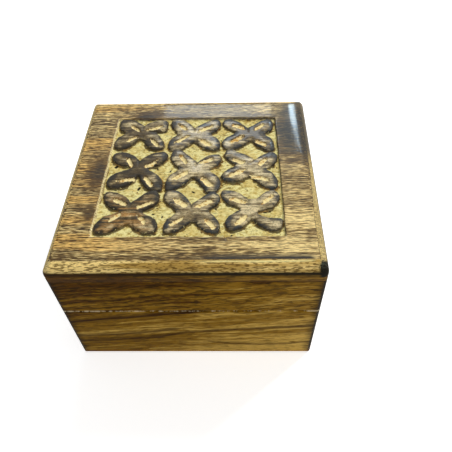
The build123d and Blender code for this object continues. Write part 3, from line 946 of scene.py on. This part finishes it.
def boardMaterial():
    material, shader = newMaterial("carvedWood")
    g = boardPatterns()
    wood, petals, ground = borderWood(g), petalWood(g), groundWood(g)
    onPetal = ease(timesPlus(g.fray, 0.6, g.petal), -0.14, 0.08)
    colour = blend(onPetal, ground, petals)
    onBorder = ease(timesPlus(g.fray, 0.5, g.field), -0.1, 0.1, 1.0, 0.0)
    colour = blend(onBorder, colour, wood)
    inGouge = times(ease(timesPlus(g.fray, 0.5, g.gouge), -0.05, 0.10), minus(1.0, onBorder))
    colour = blend(inGouge, colour, gougeWood(g))
    colour = scoreFront(g, scoreField(g, colour))
    colour, sanded = sandEdges(g, colour)
    colour = sidesAndCorner(g, colour)

    # bare wood is dull, and wax shines on the middles of the petals and on the border
    bare = larger(inGouge, minus(1.0, larger(onPetal, onBorder)), sanded)
    rough = plus(timesPlus(bare, 0.4, finish["roughness"]), times(g.fray, 0.15))
    feed(shader, {"Base Color": colour, "Roughness": rough})
    setShine(shader, finish)
    inField = ease(g.field, -0.2, 0.2)
    edge = times(ease(g.petal, 0.9, 1.8, 1.0, 0.0), inField)
    onLeft = times(inField, easeMm(g.x, -18, -6, 0.8, 0.0))
    matte = larger(bare, ease(g.bend, 0.0, 0.04), edge, ease(g.crease, 0.02, 0.3), onLeft)
    wax = times(maths("SUBTRACT", 1.0, matte, clamp=True), finish["polish"])
    feed(shader, {"Coat Weight": wax, "Coat Roughness": finish["polishRoughness"]})
    relief = plus(minus(times(g.hair, 0.4), g.dash), times(g.speck, timesPlus(bare, 1.4, 0.6)))
    addBump(shader, relief, finish["relief"])
    addBump(shader, plus(g.fine, g.streak), finish["polishRelief"], "Coat Normal")
    return material


brass = dict(palette(colour=(204, 176, 108), worn=(160, 126, 70)), roughness=0.30, relief=0.01)


def brassMaterial(name, grit):
    material, shader = newMaterial(name)
    point = objectPoint()
    rub = noise(point, (90, 1400, 1400), 3.0, 0.6)
    cloud = noise(point, (grit, grit, grit), 3.0, 0.55)
    colour = blend(ease(cloud, 0.35, 0.7), brass["colour"], brass["worn"])
    rough = ease(rub, 0.3, 0.7, brass["roughness"] - 0.08, brass["roughness"] + 0.14)
    feed(shader, {"Base Color": colour, "Metallic": 1.0, "Roughness": rough})
    addBump(shader, rub, brass["relief"])
    return material


def dress(nodeName, material):
    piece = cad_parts[nodeName]
    piece.data.materials.clear()
    piece.data.materials.append(material)


# Boards and hinges
acrossWood, deepWood = wallMaterial("boxWoodAcross", "x"), wallMaterial("boxWoodDeep", "y")
for level in ("base", "lid"):
    for sideName in ("front", "back"):
        dress(f"{level}_{sideName}_wall", acrossWood)
    for sideName in ("left", "right"):
        dress(f"{level}_{sideName}_wall", deepWood)
dress("bottom_board", acrossWood)
leafBrass, screwBrass = brassMaterial("hingeBrass", 260), brassMaterial("screwBrass", 700)
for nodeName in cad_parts:
    if "hinge" in nodeName:
        isScrew = nodeName.endswith("screws")
        dress(nodeName, screwBrass if isScrew else leafBrass)
print("boards and hinges dressed")

carvedBoard(boardMaterial())
print("carved board made")

# place and lens in millimetres, angles in degrees
camera = dict(place=(18.3, -144.69, 197.99), down=49.474, turn=1.938, roll=1.837, lens=37.51)


def placeObject(thing, axes, place):
    # axes are its own x, y and z directions
    matrix = np.eye(4)
    matrix[:3, :3], matrix[:3, 3] = np.stack(axes, 1), place
    thing.matrix_world = Matrix(matrix.tolist())


def aimCamera():
    # the view is turned about Z by turn, then looks down, then leans about its own line of sight
    data = bpy.data.cameras.new("camera")
    data.lens, data.sensor_width = camera["lens"], 36.0
    data.clip_start, data.clip_end = 0.01, 20
    eye = addObject("camera", data)
    turn, down, roll = (math.radians(camera[name]) for name in ("turn", "down", "roll"))

    def rotation(axis, angle):
        c, s = math.cos(angle), math.sin(angle)
        return np.array({"x": [[1, 0, 0], [0, c, -s], [0, s, c]], "y": [[c, 0, s], [0, 1, 0], [-s, 0, c]],
                         "z": [[c, -s, 0], [s, c, 0], [0, 0, 1]]}[axis])

    axes = rotation("z", turn) @ rotation("x", -down) @ rotation("y", roll)
    placeObject(eye, [axes[:, 0], axes[:, 2], -axes[:, 1]], np.array(camera["place"]) * mm)
    scene.camera = eye


# name, degrees right of straight behind, degrees up, lean to the right, distance, width, height in metres,
# watts, colour
lamps = [
    ("window", -1.8, 36.5, 0.0, 1.0, 0.26, 0.16, 1.05, (0.82, 0.92, 1.0)),
    ("strip", 10.8, 34.6, 19.0, 1.0, 0.006, 0.056, 0.13, (0.66, 0.86, 1.0)),
    ("stripLower", 12.2, 37.7, 22.0, 1.0, 0.003, 0.066, 0.05, (0.66, 0.86, 1.0)),
    ("sky", 2.0, 36.0, 0.0, 1.4, 0.60, 0.36, 0.6, (0.62, 0.82, 1.0)),
    ("keyBack", 50.0, 45.0, 0.0, 1.3, 0.20, 0.20, 9.8, (1.0, 0.98, 0.94)),
    ("topSoft", 180.0, 80.0, 0.0, 1.4, 1.0, 1.0, 1.0, (1.0, 0.99, 0.97)),
    ("frontSoft", 200.0, 35.0, 0.0, 1.4, 0.9, 0.7, 4.0, (1.0, 0.98, 0.95)),
]


def addLamps():
    target = np.array([0.0, 0.0, 0.05])  # about the middle of the box, in metres
    for name, right, up, lean, distance, width, height, watts, colour in lamps:
        data = bpy.data.lights.new(name, "AREA")
        data.shape, data.size, data.size_y = "RECTANGLE", width, height
        data.energy, data.color = watts, colour
        lamp = addObject(name, data)
        a, e = math.radians(right), math.radians(up)
        outward = np.array([math.sin(a) * math.cos(e), math.cos(a) * math.cos(e), math.sin(e)])
        sideways = np.array([math.cos(a), -math.sin(a), 0.0])
        upward = np.cross(sideways, outward)
        c, s = math.cos(math.radians(lean)), math.sin(math.radians(lean))
        axes = [s * upward - c * sideways, c * upward + s * sideways, outward]
        placeObject(lamp, axes, target + outward * distance)


studio = dict(
    fill=0.30,  # how brightly the world lights the object; it is seen at 1, as pure white
    floorTone=(0.9, 0.9, 0.9, 1),
    floorGlow=0.6,  # keeps the floor white to the eye
    mirrorGlow=0.15,
    floorHalf=2.0,
)


def addStudio():
    world = bpy.data.worlds.new("studio")
    scene.world = world
    world.use_nodes = True
    canvas["tree"] = world.node_tree
    background = world.node_tree.nodes["Background"]
    path = newNode("ShaderNodeLightPath")
    direct = plus(path.outputs["Is Camera Ray"], path.outputs["Is Glossy Ray"])
    direct = maths("ADD", direct, path.outputs["Is Transmission Ray"], clamp=True)
    feed(background, {"Color": (1, 1, 1, 1), "Strength": ease(direct, 0.0, 1.0, studio["fill"], 1.0)})
    half = studio["floorHalf"]
    mesh = bpy.data.meshes.new("floor")
    corners = [(-half, -half, 0), (half, -half, 0), (half, half, 0), (-half, half, 0)]
    mesh.from_pydata(corners, [], [(0, 1, 2, 3)])
    floor = addObject("floor", mesh)
    material, shader = newMaterial("floorWhite")
    path = newNode("ShaderNodeLightPath")
    mirrored = larger(path.outputs["Is Glossy Ray"], path.outputs["Is Transmission Ray"])
    direct = times(path.outputs["Is Camera Ray"], studio["floorGlow"])
    glow = timesPlus(mirrored, studio["mirrorGlow"], direct)
    feed(shader, {"Base Color": studio["floorTone"], "Roughness": 0.9})
    feed(shader, {"Emission Color": (1, 1, 1, 1), "Emission Strength": glow})
    mesh.materials.append(material)


aimCamera()
addLamps()
addStudio()
scene.view_settings.view_transform = "Standard"
print("camera, lamps and studio set")
